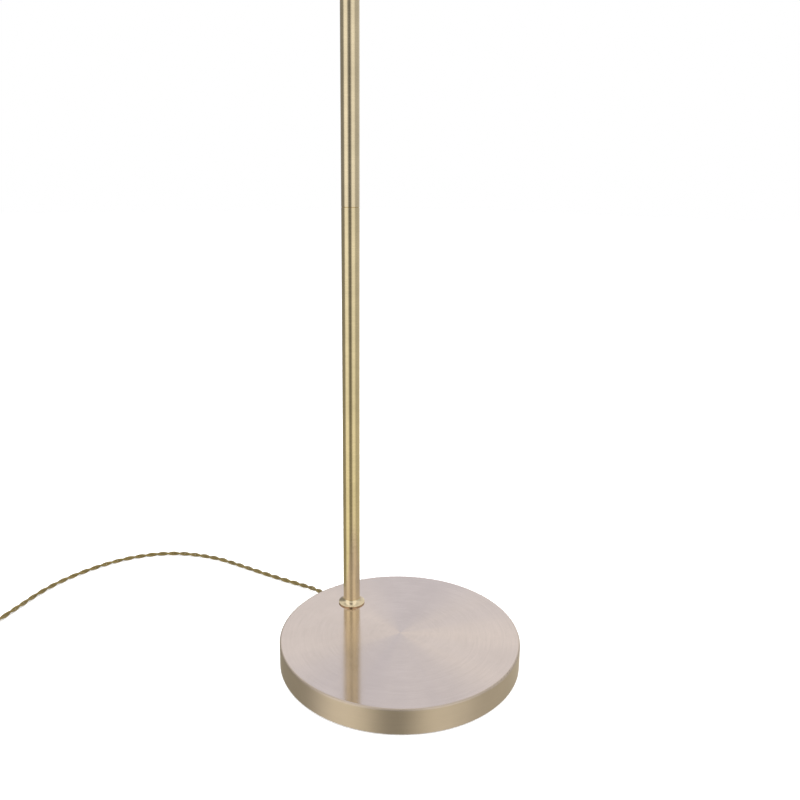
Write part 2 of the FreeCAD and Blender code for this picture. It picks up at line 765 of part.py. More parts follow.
def head(pivot, height):
    """The cap, holder, shade and lamp. Their heights are measured from the tilt pivot."""
    y = pivot - D.head_forward
    cap_low, cap_high = D.cap_low, D.cap_high
    outside, wall = D.cap_radius, D.cap_wall
    where = {"y": y, "z": height}
    thick, rear = D.tongue_half * 2, outside * 0.9
    blank = box(thick, D.head_forward - rear, 10.0, -D.tongue_half, y + rear, height - 5.0)
    disc = cylinder(D.ear_radius, thick, -D.tongue_half, pivot, height, RIGHT)
    bolt_hole = D.bolt_radius + D.slide_gap
    bolt_way = cylinder(bolt_hole, thick * 2, -thick, pivot, height, RIGHT)
    cap_space = cylinder(outside, 60.0, y=y, z=height - 30.0)
    keep(cut(fuse(blank, disc), bolt_way, cap_space), "tilt_tongue")
    crown, thread = 8.0, D.switch_thread
    turned(
        "holder_cap",
        [
            (thread, cap_high),
            (outside - crown, cap_high),
            (outside, cap_high - crown, (outside - crown, cap_high - crown)),
            (outside, cap_low + 3.0),
            (outside + 0.9, cap_low + 2.0),
            (outside + 0.9, cap_low),
            (outside - wall, cap_low),
            (outside - wall, cap_high - crown),
            (outside - crown, cap_high - wall, (outside - crown, cap_high - crown)),
            (thread, cap_high - wall),
        ],
        **where,
    )
    case, stem_way = D.switch_radius, D.switch_stem + D.slide_gap
    turned(
        "switch_body",
        [
            (stem_way, cap_high - 20.0),
            (case, cap_high - 20.0),
            (case, cap_high - wall),
            (thread, cap_high - wall),
            (thread, cap_high + 4.6),
            (stem_way, cap_high + 4.6),
        ],
        **where,
    )
    nut = hexagon(D.switch_nut_flats, 2.4, y=y, z=height + cap_high)
    keep(cut(nut, cylinder(thread, 10.0, y=y, z=height + cap_high - 2.0)), "switch_nut")
    knob = D.knob_radius
    turned(
        "switch_knob",
        [
            (0.0, cap_high - 16.0),
            (D.switch_stem, cap_high - 16.0),
            (D.switch_stem, cap_high + 5.2),
            (knob - 1.0, cap_high + 5.2),
            (knob, cap_high + 6.2),
            (knob - 0.8, cap_high + 16.0),
            (knob - 2.8, cap_high + 18.0, (knob - 2.8, cap_high + 16.0)),
            (0.0, cap_high + 18.0),
        ],
        **where,
    )
    thread, pocket = D.holder_radius, D.lamp_cap_radius
    holder_low = cap_low - D.holder_length
    turned(
        "lampholder",
        [
            (0.0, cap_low + 3.0),
            (outside - wall, cap_low + 3.0),
            (outside - wall, cap_low),
            (thread, cap_low),
            (thread, cap_low - 22.0),
            (thread - 1.0, cap_low - 23.0),
            (thread - 2.0, holder_low),
            (pocket, holder_low),
            (pocket, cap_low - 18.0),
            (0.0, cap_low - 18.0),
        ],
        **where,
    )
    shade_top = cap_low
    dome = D.dome_radius
    wall = D.shade_wall
    neck, middle = D.shade_neck, shade_top - dome
    low = D.skirt_low
    shell = turned(
        "shade",
        [
            (thread, shade_top),
            (neck, shade_top),
            (neck + dome, middle, (neck, middle)),
            (neck + dome, low),
            (neck + dome - wall, low),
            (neck + dome - wall, middle),
            (neck, shade_top - wall, (neck, middle)),
            (thread, shade_top - wall),
        ],
        final=False,
        **where,
    )
    bead = doc.addObject("Part::Torus", "shade_bead")
    place(bind(bead, Radius1=neck + dome - wall * 0.5, Radius2=D.bead_radius), y=y, z=height + low)
    vents = []
    for i in range(VENTS):
        x, along = polar(D.vent_circle, 360.0 * (i + 0.5) / VENTS)
        vents.append(cylinder(D.vent_radius, 30.0, x, y + along, height + shade_top - 20.0))
    keep(cut(fuse(shell, bead), *vents), "shade")
    ring("shade_ring", thread, 18.0, shade_top - wall - 5.5, shade_top - wall, **where)

    cap_end = holder_low - 2.0
    bulb = D.bulb_radius
    bulb_middle = holder_low - 27.0
    neck_radius = D.lamp_neck_radius
    drop = math.sqrt(bulb.value**2 - neck_radius.value**2)
    turned(
        "lamp_globe",
        [
            (0.0, bulb_middle - bulb),
            (bulb, bulb_middle, (0.0, bulb_middle)),
            (neck_radius, bulb_middle + drop, (0.0, bulb_middle)),
            (7.2, cap_end),
            (0.0, cap_end),
        ],
        **where,
    )
    turned(
        "lamp_cap",
        [
            (0.0, cap_end),
            (pocket, cap_end),
            (pocket, cap_end + 20.0),
            (3.0, cap_end + 23.0),
            (3.0, cap_end + 25.0),
            (0.0, cap_end + 25.0),
        ],
        **where,
    )


def rounded_path(points, ease=0.45):
    """A wire of straight runs joined by tangent arcs, each as large as its two runs allow, and the
    radii of those arcs."""
    corners = [FreeCAD.Vector(*p) for p in points]
    edges, radii, at = [], [], corners[0]
    for before, corner, after in zip(corners, corners[1:], corners[2:]):
        come, go = corner - before, after - corner
        half = come.getAngle(go) / 2
        back = ease * min(come.Length, go.Length)
        radii.append(back / math.tan(half))
        come, go = FreeCAD.Vector(come).normalize(), FreeCAD.Vector(go).normalize()
        start, stop = corner - come * back, corner + go * back
        inward = (go - come).normalize()
        middle = corner + inward * (radii[-1] / math.cos(half) - radii[-1])
        edges.append(Part.LineSegment(at, start).toShape())
        edges.append(Part.Arc(start, middle, stop).toShape())
        at = stop
    edges.append(Part.LineSegment(at, corners[-1]).toShape())
    return Part.Wire(edges), radii


def swept(label, points, radius, ease=0.45):
    """A round tube along a route, set by its shape because it follows no plane."""
    wire, radii = rounded_path(points, ease)
    start = wire.Edges[0]
    direction = start.tangentAt(start.FirstParameter)
    circle = Part.Wire([Part.makeCircle(radius, FreeCAD.Vector(*points[0]), direction)])
    shape = wire.makePipeShell([circle], True, True)
    share = shape.Volume / (math.pi * radius**2 * wire.Length)
    print(f"{label}: {wire.Length:.0f} mm, volume {share:.3f} of its section times its length")
    print(f"{label}: bend radii {[round(r) for r in radii]}")
    obj = doc.addObject("Part::Feature", label)
    obj.Shape = shape
    return keep(obj, label)


def piped(label, edges, radius):
    """A round tube along joined edges."""
    wire = Part.Wire(edges)
    first = wire.Edges[0]
    start, direction = first.valueAt(first.FirstParameter), first.tangentAt(first.FirstParameter)
    circle = Part.Wire([Part.makeCircle(radius, start, direction)])
    obj = doc.addObject("Part::Feature", label)
    obj.Shape = wire.makePipeShell([circle], True, True)
    share = obj.Shape.Volume / (math.pi * radius**2 * wire.Length)
    print(f"{label}: volume {share:.3f} of its section times its length")
    return keep(obj, label)


def inner_flex(neck_end, height):
    """The thin flex inside the lamp, in the lengths that its joints divide it into."""
    y = D.pole_back.value
    radius = D.inner_flex_radius.value
    level = D.cord_exit_height.value
    swept(
        "flex_in_base",
        [
            (*[v.value for v in entry_point(152.0)], level),
            (*[v.value for v in entry_point(113.0)], level),
            (6.2, 96.0, level),
            (14.3, 84.0, level),
            (13.5, 70.0, level),
            (9.0, TERMINAL_BACK, level),
        ],
        D.cord_width.value / 2,
    )
    turn, low = 6.0, D.pad_thick.value + D.plate_thick.value + radius + 0.1
    slack_low, slack_high = D.slack_low.value, D.rod_low.value - 2.0

    def at(along, up):
        return FreeCAD.Vector(0, along, up)

    piped(
        "flex_in_pole",
        [
            Part.LineSegment(at(TERMINAL_BACK, low), at(y - turn, low)).toShape(),
            Part.Arc(
                at(y - turn, low),
                at(y - turn + turn * math.sqrt(0.5), low + turn - turn * math.sqrt(0.5)),
                at(y, low + turn),
            ).toShape(),
            Part.LineSegment(at(y, low + turn), at(y, slack_low)).toShape(),
        ],
        radius,
    )
    # a loose helix that takes up the flex as the rod slides
    count = SLACK_TURNS * SLACK_STEPS
    points = []
    for i in range(count + 1):
        part = i / count
        grow = min(1.0, part * SLACK_TURNS, (1 - part) * SLACK_TURNS)
        out = D.slack_swing.value * grow * grow * (3 - 2 * grow)
        angle = 2 * math.pi * SLACK_TURNS * part
        up = slack_low + (slack_high - slack_low) * part
        points.append(FreeCAD.Vector(out * math.cos(angle), y + out * math.sin(angle), up))
    curve = Part.BSplineCurve()
    curve.interpolate(points)
    piped("flex_slack", [curve.toShape()], radius)
    spigot_top = D.rod_top + D.swivel_height + D.spigot_length
    ring("flex_in_rod", 0.0, radius, slack_high + JOIN_GAP, spigot_top, y=D.pole_back)
    bend_low, bend = D.neck_bend_low.value, D.neck_bend.value
    start = spigot_top.value + JOIN_GAP
    high = bend_low + bend
    piped(
        "flex_in_neck",
        [
            Part.LineSegment(at(y, start), at(y, bend_low)).toShape(),
            Part.Arc(
                at(y, bend_low),
                at(y - bend * (1 - math.sqrt(0.5)), bend_low + bend * math.sqrt(0.5)),
                at(y - bend, high),
            ).toShape(),
            Part.LineSegment(at(y - bend, high), at(neck_end.value + 3.0, high)).toShape(),
        ],
        radius,
    )


def free_flex():
    """The twisted flex on the floor: its loose run, the storage coil and the tail to the plug."""
    half = D.cord_width.value / 2
    coil_x, coil_y = COIL_CENTRE
    outer = COIL_MIDDLE_RADIUS + COIL_PITCH * (COIL_TURNS_WIDE - 1) / 2
    width = half + 0.1
    last = CORD_ROUTE[-1]
    # the route meets the coil's outer turn on a tangent, which winds clockwise seen from above
    gap = math.dist(last[:2], COIL_CENTRE)
    toward = math.atan2(last[1] - coil_y, last[0] - coil_x)
    touch = toward - math.acos(outer / gap)
    meet = (coil_x + outer * math.cos(touch), coil_y + outer * math.sin(touch), last[2])
    swept("flex_run", [*CORD_ROUTE, meet], half)
    ring(
        "flex_coil",
        Size.of(outer - COIL_PITCH * (COIL_TURNS_WIDE - 1) - width),
        Size.of(outer + width),
        Size.of(0.1),
        Size.of(0.1 + COIL_LAYERS * COIL_PITCH),
        x=coil_x,
        y=coil_y,
    )
    swept("flex_tail", TAIL_ROUTE, half)
    return meet


def plug():
    """A flat two-pin plug, lying on the floor with its pins away from the flex."""
    x, y, z = PLUG_START
    end = D.relief_length
    relief = turned(
        "plug_relief",
        [(0.0, 0.0), (3.4, 0.0), (5.2, end - 4.0), (5.2, end), (0.0, end)],
        x=x,
        y=y,
        z=z,
        turn=BACKWARD,
        final=False,
    )
    tall, wide, broad = D.plug_height, D.plug_grip_width, D.plug_nose_width
    level = z - tall * 0.5
    grip_start = y + end - 2.0
    nose_start = grip_start + D.grip_length - 2.0
    face = nose_start + D.nose_length
    grip = box(wide, D.grip_length, tall, x - wide * 0.5, grip_start, level)
    nose = box(broad, D.nose_length, tall, x - broad * 0.5, nose_start, level)
    block = fuse(grip, nose)
    doc.recompute()
    soft = doc.addObject("Part::Fillet", "plug_corners")
    soft.Base = block
    corner = D.plug_corner.value
    soft.Edges = [
        (i, corner, corner)
        for i, edge in enumerate(block.Shape.Edges, 1)
        if abs(abs(edge.tangentAt(edge.FirstParameter).z) - 1.0) < 1e-6
    ]
    keep(fuse(soft, relief), "plug_body")
    pins = []
    thick, tip = D.pin_radius, D.pin_length
    profile = [(0.0, 0.0), (thick, 0.0), (thick, tip - 1.6), (thick - 0.8, tip), (0.0, tip)]
    for label, aside in (("left_pin", -D.pin_aside), ("right_pin", D.pin_aside)):
        pins.append(turned(label, profile, x=x + aside, y=face, z=z, turn=BACKWARD, final=False))
    keep(fuse(*pins), "plug_pins")


def main():
    weighted_base()
    pole()
    height_clamp()
    sliding_rod()
    neck_end, height = neck()
    pivot = fork(neck_end, height)
    head(pivot, height)
    inner_flex(neck_end, height)
    free_flex()
    plug()
    doc.recompute()
    bad = [o.Label for o in doc.Objects if "Invalid" in o.State or "Error" in o.State]
    bad += [o.Label for o in finished if o.Shape.isNull() or not o.Shape.isValid()]
    if bad:
        raise SystemExit(f"these objects failed: {bad}")
    os.makedirs("parts", exist_ok=True)
    for obj in finished:
        obj.Shape.exportStep(f"parts/{obj.Label}.step")
    print(len(finished), "sub-parts;", "tilt pivot at", pivot.value, height.value)


main()
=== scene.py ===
import math

import bpy
import numpy as np
from mathutils import Matrix, Vector


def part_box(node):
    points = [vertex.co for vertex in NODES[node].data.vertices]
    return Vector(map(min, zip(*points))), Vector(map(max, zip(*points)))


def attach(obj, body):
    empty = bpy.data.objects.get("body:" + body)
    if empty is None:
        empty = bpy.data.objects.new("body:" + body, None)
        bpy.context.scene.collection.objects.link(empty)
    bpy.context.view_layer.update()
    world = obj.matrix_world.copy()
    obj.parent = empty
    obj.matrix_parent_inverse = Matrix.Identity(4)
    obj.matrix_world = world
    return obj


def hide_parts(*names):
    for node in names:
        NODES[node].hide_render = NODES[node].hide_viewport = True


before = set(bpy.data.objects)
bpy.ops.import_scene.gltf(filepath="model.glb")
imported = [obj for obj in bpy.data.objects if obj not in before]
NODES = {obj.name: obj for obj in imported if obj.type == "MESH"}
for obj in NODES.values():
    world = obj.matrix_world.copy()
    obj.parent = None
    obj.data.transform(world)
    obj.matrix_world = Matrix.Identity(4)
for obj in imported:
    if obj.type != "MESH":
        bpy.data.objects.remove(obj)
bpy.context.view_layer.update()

# The looks of a pharmacy floor lamp in antique brass: its metals, its twisted fabric flex, the
# studio it stands in, and the camera. Metres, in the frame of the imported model: the origin is the
# middle of the base's underside, +Z is up and -Y is the front.

MM = 0.001
TURN = 2 * math.pi


# ---------------------------------------------------------------- camera

CAMERA_PLACE = Vector((-0.49901, -0.56281, 0.49679))
CAMERA_FORWARD = Vector((0.63677, 0.72488, -0.26280)).normalized()
CAMERA_RIGHT = Vector((0.75361, -0.65719, 0.01328)).normalized()
CAMERA_LENS = 34.975
SENSOR_WIDTH = 36.0
NEAREST, FARTHEST = 0.01, 60.0


def add_camera():
    data = bpy.data.cameras.new("camera")
    data.lens = CAMERA_LENS
    data.sensor_width = SENSOR_WIDTH
    data.clip_start, data.clip_end = NEAREST, FARTHEST
    camera = bpy.data.objects.new("camera", data)
    bpy.context.scene.collection.objects.link(camera)
    up = CAMERA_RIGHT.cross(CAMERA_FORWARD)
    turn = Matrix((CAMERA_RIGHT, up, -CAMERA_FORWARD)).transposed()
    camera.matrix_world = Matrix.Translation(CAMERA_PLACE) @ turn.to_4x4()
    bpy.context.scene.camera = camera


# ---------------------------------------------------------------- flex

FLEX_WIDTH = 5.4 * MM
TWIST_LENGTH = 30.4 * MM
STRAND_SIDES = 8
STRAND_STEP = 1.7 * MM
# The twist runs this many radians ahead or behind, by chance, at each of its knots.
WOBBLE = 0.12
WOBBLE_KNOTS = 60
WOBBLE_SEED = 4
SPLINE_ORDER = 3
SPLINE_STEPS = 12
# The flex's route in millimetres: from the strain relief to the coil, then from the coil to the
# plug.
FLEX_ROUTE = [
    (7.955, 151.79, 7.5),
    (8.9, 168.0, 5.9),
    (4.0, 196.0, 2.9),
    (-9.5, 231.0, 2.8),
    (-25.5, 281.0, 2.8),
    (-44.0, 338.0, 2.8),
    (-82.0, 388.0, 2.8),
    (-137.0, 412.0, 2.8),
    (-194.0, 411.0, 2.8),
    (-248.0, 396.0, 2.8),
    (-298.0, 364.0, 2.8),
]
FLEX_TAIL = [
    (-406.4, 372.0, 8.4),
    (-408.3, 384.0, 7.7),
    (-406.8, 397.0, 7.0),
]
COIL_CENTRE = (-368.0, 366.0)
# The coil's turns, in the order they are wound: (radius, height) in millimetres.
COIL_LANES = [
    (38.4, 2.8),
    (32.8, 2.8),
    (27.2, 2.8),
    (21.6, 2.8),
    (21.6, 8.4),
    (27.2, 8.4),
    (32.8, 8.4),
    (38.4, 8.4),
]
COIL_STEPS = 118
# The share of a turn after which the flex moves over to the next lane.
LANE_CHANGE = 0.8


def coil_points():
    """The flex's control points round the coil, wound clockwise seen from above."""
    last = FLEX_ROUTE[-1]
    across, along = last[0] - COIL_CENTRE[0], last[1] - COIL_CENTRE[1]
    first_lane = COIL_LANES[0][0]
    touch = math.atan2(along, across) - math.acos(first_lane / math.hypot(across, along))
    whole = (len(COIL_LANES) - 1) * TURN + (TURN / 2 + touch)
    step = whole / COIL_STEPS
    points = []
    for i in range(COIL_STEPS):
        turned = (i + 0.5) * step
        lane, share = divmod(turned / TURN, 1.0)
        here = COIL_LANES[int(lane)]
        after = COIL_LANES[min(int(lane) + 1, len(COIL_LANES) - 1)]
        ease = max(0.0, (share - LANE_CHANGE) / (1 - LANE_CHANGE))
        ease = ease * ease * (3 - 2 * ease)
        radius = (here[0] + (after[0] - here[0]) * ease) / math.cos(step / 2)
        height = here[1] + (after[1] - here[1]) * ease
        angle = touch - turned
        x = COIL_CENTRE[0] + radius * math.cos(angle)
        y = COIL_CENTRE[1] + radius * math.sin(angle)
        points.append((x, y, height))
    return points


def route_line(points):
    """Points along a smooth NURBS spline with these control points, given in millimetres."""
    data = bpy.data.curves.new("route", "CURVE")
    data.dimensions = "3D"
    spline = data.splines.new("NURBS")
    spline.points.add(len(points) - 1)
    for point, place in zip(spline.points, points):
        point.co = (place[0] * MM, place[1] * MM, place[2] * MM, 1.0)
    spline.order_u = SPLINE_ORDER
    spline.use_endpoint_u = True
    spline.resolution_u = SPLINE_STEPS
    route = bpy.data.objects.new("route", data)
    bpy.context.scene.collection.objects.link(route)
    bpy.context.view_layer.update()
    mesh = bpy.data.meshes.new_from_object(route)
    line = np.array([v.co for v in mesh.vertices], float)
    bpy.data.objects.remove(route)
    bpy.data.curves.remove(data)
    bpy.data.meshes.remove(mesh)
    return line


def evenly(line, step):
    """The same line in even steps, and how far along it each point is."""
    lengths = np.r_[0.0, np.cumsum(np.linalg.norm(np.diff(line, axis=0), axis=1))]
    count = max(2, int(round(lengths[-1] / step)) + 1)
    along = np.linspace(0.0, lengths[-1], count)
    places = np.column_stack([np.interp(along, lengths, line[:, k]) for k in range(3)])
    return places, along


def side_vectors(line):
    """Two unit vectors square to the line at each of its points, with no twist of their own."""
    tangents = np.gradient(line, axis=0)
    tangents /= np.linalg.norm(tangents, axis=1)[:, None]
    across = np.cross(tangents[0], (0.0, 0.0, 1.0))
    sides = []
    for tangent in tangents:
        across = across - tangent * (across @ tangent)
        across /= np.linalg.norm(across)
        sides.append(across)
    sides = np.array(sides)
    return sides, np.cross(tangents, sides)


def twisted_pair(name, line, width, twist):
    """Two round strands twisted about a line, as one mesh with a UV map that runs along them."""
    path, along = evenly(line, STRAND_STEP)
    side, other = side_vectors(path)
    strand = width / 4
    vertices, faces, uvs = [], [], []
    chance = np.random.default_rng(WOBBLE_SEED)
    knots = np.linspace(0, along[-1], WOBBLE_KNOTS)
    wobble = np.interp(along, knots, chance.normal(0.0, WOBBLE, WOBBLE_KNOTS))
    for start in (0.0, TURN / 2):
        angle = start + TURN * along / twist + wobble
        out = side * np.cos(angle)[:, None] + other * np.sin(angle)[:, None]
        middle = path + out * strand
        first, second = side_vectors(middle)
        base = len(vertices)
        for i in range(len(path)):
            for k in range(STRAND_SIDES):
                round_angle = TURN * k / STRAND_SIDES
                offset = first[i] * math.cos(round_angle) + second[i] * math.sin(round_angle)
                vertices.append(middle[i] + offset * strand)
        for i in range(len(path) - 1):
            for k in range(STRAND_SIDES):
                after = (k + 1) % STRAND_SIDES
                a = base + i * STRAND_SIDES + k
                b = base + i * STRAND_SIDES + after
                faces.append((a, b, b + STRAND_SIDES, a + STRAND_SIDES))
                low, high = k / STRAND_SIDES, (k + 1) / STRAND_SIDES
                near, far = along[i] / width, along[i + 1] / width
                uvs += [(low, near), (high, near), (high, far), (low, far)]
        for end in (base, base + (len(path) - 1) * STRAND_SIDES):
            cap = list(range(end, end + STRAND_SIDES))
            faces.append(tuple(cap if end != base else reversed(cap)))
            uvs += [(0.5, 0.0)] * STRAND_SIDES
    mesh = bpy.data.meshes.new(name)
    mesh.from_pydata([tuple(v) for v in vertices], [], faces)
    mesh.polygons.foreach_set("use_smooth", [True] * len(mesh.polygons))
    layer = mesh.uv_layers.new(name="along")
    layer.data.foreach_set("uv", np.array(uvs, np.float32).ravel())
    mesh.validate()
    piece = bpy.data.objects.new(name, mesh)
    bpy.context.scene.collection.objects.link(piece)
    return piece, path, along[-1]


def add_flex():
    points = [*FLEX_ROUTE, *coil_points(), *FLEX_TAIL]
    line = route_line(points)
    flex, path, length = twisted_pair("flex", line, FLEX_WIDTH, TWIST_LENGTH)
    flex.data.materials.append(braided_flex())
    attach(flex, "base")
    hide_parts("flex_run", "flex_coil", "flex_tail")


# ---------------------------------------------------------------- materials

# Most of a noise lies between these two values.
NOISE_LOW, NOISE_HIGH = 0.3, 0.7
# A quarter turn from round the axis: the shine spreads across the grooves.
ACROSS_GROOVES = 0.25
SCRATCH_DEPTH = 0.01 * MM
LATHE_LINES = 0.5
PATINA = 0.12
# How fine each finish's grooves are, and how much finer than them its scratches are.
TURNED_GROOVES, TURNED_FINER = 900.0, (0.7, 0.7, 3.6)
BASE_GROOVES, BASE_FINER = 520.0, (1.0, 1.0, 5.0)
SHADE_GROOVES = 700.0

TUBE = (0.68, 0.575, 0.385)
LOWER_TUBE = (0.68, 0.572, 0.36)
POLISHED = (0.72, 0.60, 0.40)
MACHINED = (0.66, 0.55, 0.36)
# The top's colour where its painted reflection is bright and where it is dark. Their pink tint is
# partly the lacquered finish and partly painted reflection.
TOP_PAINTED_BRIGHT_REFLECTION = (0.74, 0.635, 0.575)
TOP_PAINTED_DARK_REFLECTION = (0.625, 0.55, 0.54)
RIM_COLOR = (0.60, 0.505, 0.415)
# The direction, from the top's middle, along which its painted highlight is palest.
PAINTED_HIGHLIGHT_LINE = (0.557, -0.830, 0.0)
# The top's rounded edge, inward from the rim.
EDGE_START, EDGE_END = 2.2 * MM, 1.2 * MM

# Pieces finished on a lathe: (piece, colour, axis, roughness, how far the shine spreads).
TURNED = [
    ("lower_tube", LOWER_TUBE, "Z", 0.2, 0.75),
    ("upper_tube", TUBE, "Z", 0.18, 0.75),
    ("inner_rod", TUBE, "Z", 0.18, 0.75),
    ("holder_cap", TUBE, "Z", 0.18, 0.75),
    ("pole_collar", POLISHED, "Z", 0.2, 0.3),
    ("height_clamp", POLISHED, "Z", 0.2, 0.3),
    ("swivel_base", POLISHED, "Z", 0.2, 0.3),
    ("swivel_head", POLISHED, "Z", 0.2, 0.3),
    ("height_screw", POLISHED, "X", 0.16, 0.4),
    ("pivot_bolt", POLISHED, "X", 0.16, 0.4),
    ("tilt_knob", POLISHED, "X", 0.16, 0.4),
    ("roll_bush", POLISHED, "Y", 0.16, 0.4),
    ("switch_knob", POLISHED, "Z", 0.16, 0.4),
]
# Metal with no grain of its own: (material, colour, roughness, pieces).
PLAIN = [
    ("neck_brass", TUBE, 0.2, ["neck_tube"]),
    ("machined_brass", MACHINED, 0.26, ["tilt_fork", "tilt_tongue", "switch_nut"]),
    ("turned_brass", MACHINED, 0.3, ["foot_insert", "joint_stud", "joint_socket"]),
    (
        "zinc_steel",
        (0.56, 0.56, 0.57),
        0.35,
        ["plate_screws", "saddle_screws", "pole_nipple", "nipple_washer", "nipple_nut"],
    ),
    ("lamp_cap_metal", (0.78, 0.78, 0.79), 0.28, ["lamp_cap"]),
    ("pin_metal", (0.74, 0.71, 0.62), 0.22, ["plug_pins"]),
]
# How rough a moulded surface is close up: (the depth of its grain, grains in a metre, sheen).
SMOOTH = (0.03 * MM, 900.0, 0.0)
# Plastic, rubber, paint and felt: (material, colour, roughness, how rough it is close up, pieces).
MOULDED = [
    ("cast_iron", (0.035, 0.035, 0.036), 0.7, (0.3 * MM, 350.0, 0.0), ["base_weight"]),
    ("black_paint", (0.03, 0.03, 0.03), 0.4, (0.03 * MM, 700.0, 0.0), ["bottom_plate"]),
    ("felt", (0.028, 0.028, 0.03), 0.95, (0.3 * MM, 1400.0, 0.3), ["floor_pad"]),
    (
        "bakelite",
        (0.022, 0.021, 0.02),
        0.28,
        SMOOTH,
        ["switch_body", "lampholder", "shade_ring"],
    ),
    (
        "nylon",
        (0.72, 0.71, 0.67),
        0.42,
        SMOOTH,
        ["flex_saddle", "terminal_block", "guide_bush", "clamp_shoe", "rod_stop"],
    ),
    (
        "thin_flex",
        (0.75, 0.74, 0.70),
        0.45,
        SMOOTH,
        ["flex_in_pole", "flex_slack", "flex_in_rod", "flex_in_neck"],
    ),
    ("braid_in_base", (0.20, 0.15, 0.06), 0.75, (0.15 * MM, 900.0, 0.0), ["flex_in_base"]),
    (
        "soft_gland",
        (0.10, 0.078, 0.045),
        0.5,
        (0.05 * MM, 900.0, 0.0),
        ["flex_gland", "swivel_washer"],
    ),
    ("plug_plastic", (0.075, 0.058, 0.032), 0.4, (0.03 * MM, 1100.0, 0.0), ["plug_body"]),
]

# The braid's colour in the dips between its threads is painted shade, and on the threads' crests
# painted highlight; the middle is the threads' own colour.
BRAID_DIPS_PAINTED_SHADE = (0.030, 0.018, 0.003)
BRAID_MIDDLE = (0.105, 0.072, 0.015)
BRAID_CRESTS_PAINTED_HIGHLIGHT = (0.20, 0.145, 0.036)
BRAID_FUZZ = (0.24, 0.18, 0.055)
BRAID_SHADOW = (0.075, 0.050, 0.010)
# Threads of one slant round a strand, and in one flex width along it.
THREADS_ROUND = 6.0
THREADS_ALONG = 6.5

SHADE_DARK = (0.56, 0.47, 0.31)
SHADE_LIGHT = (0.64, 0.54, 0.36)
SHADE_PATINA = (0.44, 0.36, 0.24)
SHADE_PAINT = (0.78, 0.75, 0.68)
OPAL_DARK = (0.86, 0.85, 0.81)
OPAL_LIGHT = (0.93, 0.92, 0.89)


class Nodes:
    """The node tree of a material or of the world, with short ways to add and join nodes."""

    def __init__(self, owner):
        owner.use_nodes = True
        self.owner = owner
        self.tree = owner.node_tree

    def join(self, value, socket):
        """Links another node's output to the socket, or sets the socket to a constant."""
        if isinstance(value, bpy.types.NodeSocket):
            self.tree.links.new(value, socket)
        elif socket.type == "RGBA":
            socket.default_value = (*value, 1.0)
        else:
            socket.default_value = value

    def add(self, kind, inputs=(), output=0, **settings):
        node = self.tree.nodes.new(kind)
        for name, value in settings.items():
            setattr(node, name, value)
        for key, value in dict(inputs).items():
            self.join(value, node.inputs[key])
        return node.outputs[output]

    def place(self):
        """The place of each point on its own piece, which moves with the piece."""
        return self.add("ShaderNodeTexCoord", output="Object")

    def split(self, vector):
        node = self.tree.nodes.new("ShaderNodeSeparateXYZ")
        self.join(vector, node.inputs[0])
        return node.outputs

    def math(self, operation, a, b=0.0, c=0.0):
        return self.add("ShaderNodeMath", {0: a, 1: b, 2: c}, operation=operation)

    def vector(self, operation, a, b=(0, 0, 0), output=0):
        return self.add("ShaderNodeVectorMath", {0: a, 1: b}, output, operation=operation)

    def scaled(self, vector, scale):
        inputs = {0: vector, "Scale": scale}
        return self.add("ShaderNodeVectorMath", inputs, operation="SCALE")

    def noise(self, place, scale, detail, roughness):
        inputs = {"Vector": place, "Scale": scale, "Detail": detail, "Roughness": roughness}
        return self.add("ShaderNodeTexNoise", inputs)

    def remap(self, value, low, high, start, end):
        """Low to high, as the value goes from start to end."""
        inputs = {"Value": value, "From Min": start, "From Max": end}
        return self.add("ShaderNodeMapRange", {**inputs, "To Min": low, "To Max": high})

    def vary(self, noise, low, high):
        """Low to high, as a noise goes through the values it mostly has."""
        return self.remap(noise, low, high, NOISE_LOW, NOISE_HIGH)

    def ramp(self, value, stops):
        node = self.tree.nodes.new("ShaderNodeValToRGB")
        elements = node.color_ramp.elements
        while len(elements) < len(stops):
            elements.new(0.5)
        for element, (place, color) in zip(elements, stops):
            element.position = place
            element.color = (*color, 1.0)
        self.join(value, node.inputs[0])
        return node.outputs[0]

    def mix(self, share, a, b, blend="MIX"):
        inputs = {0: share, 6: a, 7: b}
        settings = {"data_type": "RGBA", "blend_type": blend}
        return self.add("ShaderNodeMix", inputs, output=2, **settings)

    def bump(self, height, distance, strength):
        inputs = {"Height": height, "Distance": distance, "Strength": strength}
        return self.add("ShaderNodeBump", inputs)

    def round_axis(self, axis):
        """The direction round an axis through the piece."""
        return self.add("ShaderNodeTangent", direction_type="RADIAL", axis=axis)

    def finish(self, **inputs):
        """Sets the material's shader and gives the material."""
        shader = self.tree.nodes["Principled BSDF"]
        for name, value in inputs.items():
            self.join(value, shader.inputs[name.replace("_", " ")])
        return self.owner


def material_nodes(name):
    return Nodes(bpy.data.materials.new(name))


def axis_parts(nodes, centre, axis):
    """How far each point is out from a lathe axis and along it, and its direction round it."""
    parts = nodes.split(nodes.vector("SUBTRACT", nodes.place(), tuple(centre)))
    index = "XYZ".index(axis)
    others = [part for i, part in enumerate(parts) if i != index]
    flat = nodes.add("ShaderNodeCombineXYZ", {0: others[0], 1: others[1]})
    out = nodes.vector("LENGTH", flat, output=1)
    return out, parts[index], nodes.vector("NORMALIZE", flat)


def grooves_round(nodes, profile, per_metre, round_it):
    """Where to take a noise so that it makes grooves round the axis which slowly change."""
    grooves = nodes.add("ShaderNodeCombineXYZ", {2: nodes.math("MULTIPLY", profile, per_metre)})
    return nodes.vector("ADD", grooves, round_it)


